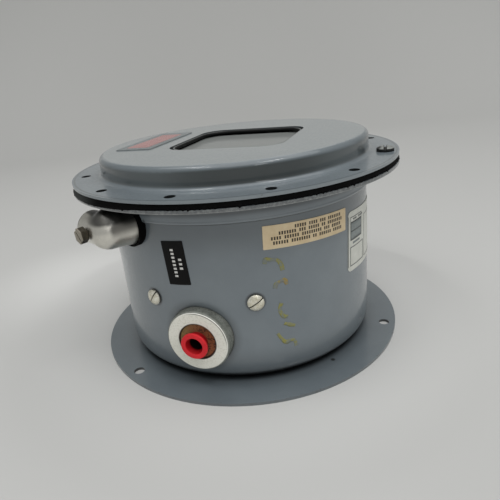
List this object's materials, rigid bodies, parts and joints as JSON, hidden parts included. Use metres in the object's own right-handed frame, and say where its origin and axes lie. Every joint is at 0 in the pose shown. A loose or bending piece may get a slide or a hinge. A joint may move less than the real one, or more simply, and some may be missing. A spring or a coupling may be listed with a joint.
{
  "type": "differential pressure switch",
  "caption": "Round weatherproof differential pressure switch: flanged can on a wall plate, windowed cover over a dial movement, opposed pressure ports and a conduit elbow.",
  "frame": {"origin": "centre of the back face of the wall plate", "axes": "+Z out of the wall along the case axis, +X up on the wall, low pressure port on -Y, high pressure port on +Y"},
  "size_m": [0.1852, 0.1852, 0.117],
  "materials": {
    "painted_sheet": "semi-gloss machine grey enamel",
    "black_rubber": "matte",
    "zinc_screws": "bright zinc",
    "plated_casting": "dull zinc plated",
    "rusty_iron": "rusted",
    "cast_aluminium": "tumbled casting",
    "red_plug": "moulded polyethylene",
    "window_glass": "clear",
    "plated_sheet": "zinc plated sheet",
    "brass_work": "turned",
    "spring_leaf": "spring steel",
    "white_plastic": "moulded",
    "black_phenolic": "moulded phenolic",
    "white_dial": "satin white",
    "black_pointer": "satin black",
    "red_pointer": "satin red",
    "black_label": "vinyl",
    "tan_label": "aged film",
    "silver_label": "satin foil",
    "red_plate": "painted foil"
  },
  "bodies": {
    "case": {"back_plate": "painted_sheet", "case_shell": "painted_sheet", "case_flange": "painted_sheet", "cover": "painted_sheet", "flange_gasket": "black_rubber", "window_gasket": "black_rubber", "conduit_seal": "black_rubber", "cover_screws": "zinc_screws", "port_screws": "zinc_screws", "conduit_set_screw": "zinc_screws", "chassis_screws": "zinc_screws", "dial_screws": "zinc_screws", "switch_screws": "zinc_screws", "terminal_screws": "zinc_screws", "window_studs": "zinc_screws", "window_nuts": "zinc_screws", "leaf_pins": "zinc_screws", "sector_clip": "zinc_screws", "sector_post": "zinc_screws", "conduit_locknut": "zinc_screws", "window_glass": "window_glass", "window_retainer": "plated_sheet", "chassis": "plated_sheet", "low_port_casting": "plated_casting", "high_port_casting": "plated_casting", "low_port_bushing": "rusty_iron", "low_port_plug": "red_plug", "conduit_elbow": "cast_aluminium", "port_label": "black_label", "side_label": "tan_label", "data_label": "silver_label", "cover_nameplate": "red_plate", "low_bellows": "brass_work", "high_bellows": "brass_work", "dial_hub": "brass_work", "dial_pillars": "brass_work", "switch_blades": "brass_work", "dial_plate": "white_dial", "low_switch": "black_phenolic", "high_switch": "black_phenolic", "terminal_strip": "black_phenolic"},
    "yoke": {"bellows_yoke": "brass_work", "drive_pin": "zinc_screws"},
    "sector": {"sector_lever": "brass_work"},
    "pointer": {"pointer_shaft": "zinc_screws", "pointer_pinion": "brass_work", "pointer": "black_pointer"},
    "low_leaf": {"low_leaf": "spring_leaf"},
    "high_leaf": {"high_leaf": "spring_leaf"},
    "low_plunger": {"low_plunger": "white_plastic"},
    "high_plunger": {"high_plunger": "white_plastic"},
    "low_set": {"low_set_pointer": "red_pointer"},
    "high_set": {"high_set_pointer": "red_pointer"}
  },
  "joints": [
    {"name": "bellows_slide", "type": "slide", "parent": "case", "child": "yoke", "axis": [0, -1, 0], "range_m": [0, 0.004], "stiffness_N_per_m": 5000, "deforming": ["low_bellows", "high_bellows"]},
    {"name": "sector_pivot", "type": "hinge", "parent": "case", "child": "sector", "pos_m": [0.0178, 0, 0.064], "axis": [0, 0, 1], "range_deg": [0, 12.7]},
    {"name": "pointer_pivot", "type": "hinge", "parent": "case", "child": "pointer", "pos_m": [-0.02, 0, 0.098], "axis": [0, 0, -1], "range_deg": [0, 101.6]},
    {"name": "low_leaf_hinge", "type": "hinge", "parent": "case", "child": "low_leaf", "pos_m": [0.0505, -0.0037, 0.06315], "axis": [0, 0, -1], "range_deg": [0, 9.4]},
    {"name": "high_leaf_hinge", "type": "hinge", "parent": "case", "child": "high_leaf", "pos_m": [0.0505, 0.00677, 0.06315], "axis": [0, 0, -1], "range_deg": [0, 9.6]},
    {"name": "low_plunger_slide", "type": "slide", "parent": "case", "child": "low_plunger", "axis": [0, 1, 0], "range_m": [0, 0.0013]},
    {"name": "high_plunger_slide", "type": "slide", "parent": "case", "child": "high_plunger", "axis": [0, 1, 0], "range_m": [0, 0.00132]},
    {"name": "low_set_pivot", "type": "hinge", "parent": "case", "child": "low_set", "pos_m": [-0.02, 0, 0.0969], "axis": [0, 0, 1], "range_deg": [-78.7, 22.7]},
    {"name": "high_set_pivot", "type": "hinge", "parent": "case", "child": "high_set", "pos_m": [-0.02, 0, 0.0988], "axis": [0, 0, 1], "range_deg": [-26.7, 74.7]}
  ],
  "couplings": [
    {"joint": "sector_pivot", "follows": "bellows_slide", "rad_per_m": 55.262},
    {"joint": "pointer_pivot", "follows": "bellows_slide", "rad_per_m": 442.09},
    {"joint": "low_leaf_hinge", "follows": "bellows_slide", "rad_per_m": 40.623},
    {"joint": "high_leaf_hinge", "follows": "bellows_slide", "rad_per_m": 41.386},
    {"joint": "low_plunger_slide", "follows": "bellows_slide", "ratio": 0.32},
    {"joint": "high_plunger_slide", "follows": "bellows_slide", "ratio": 0.325}
  ]
}
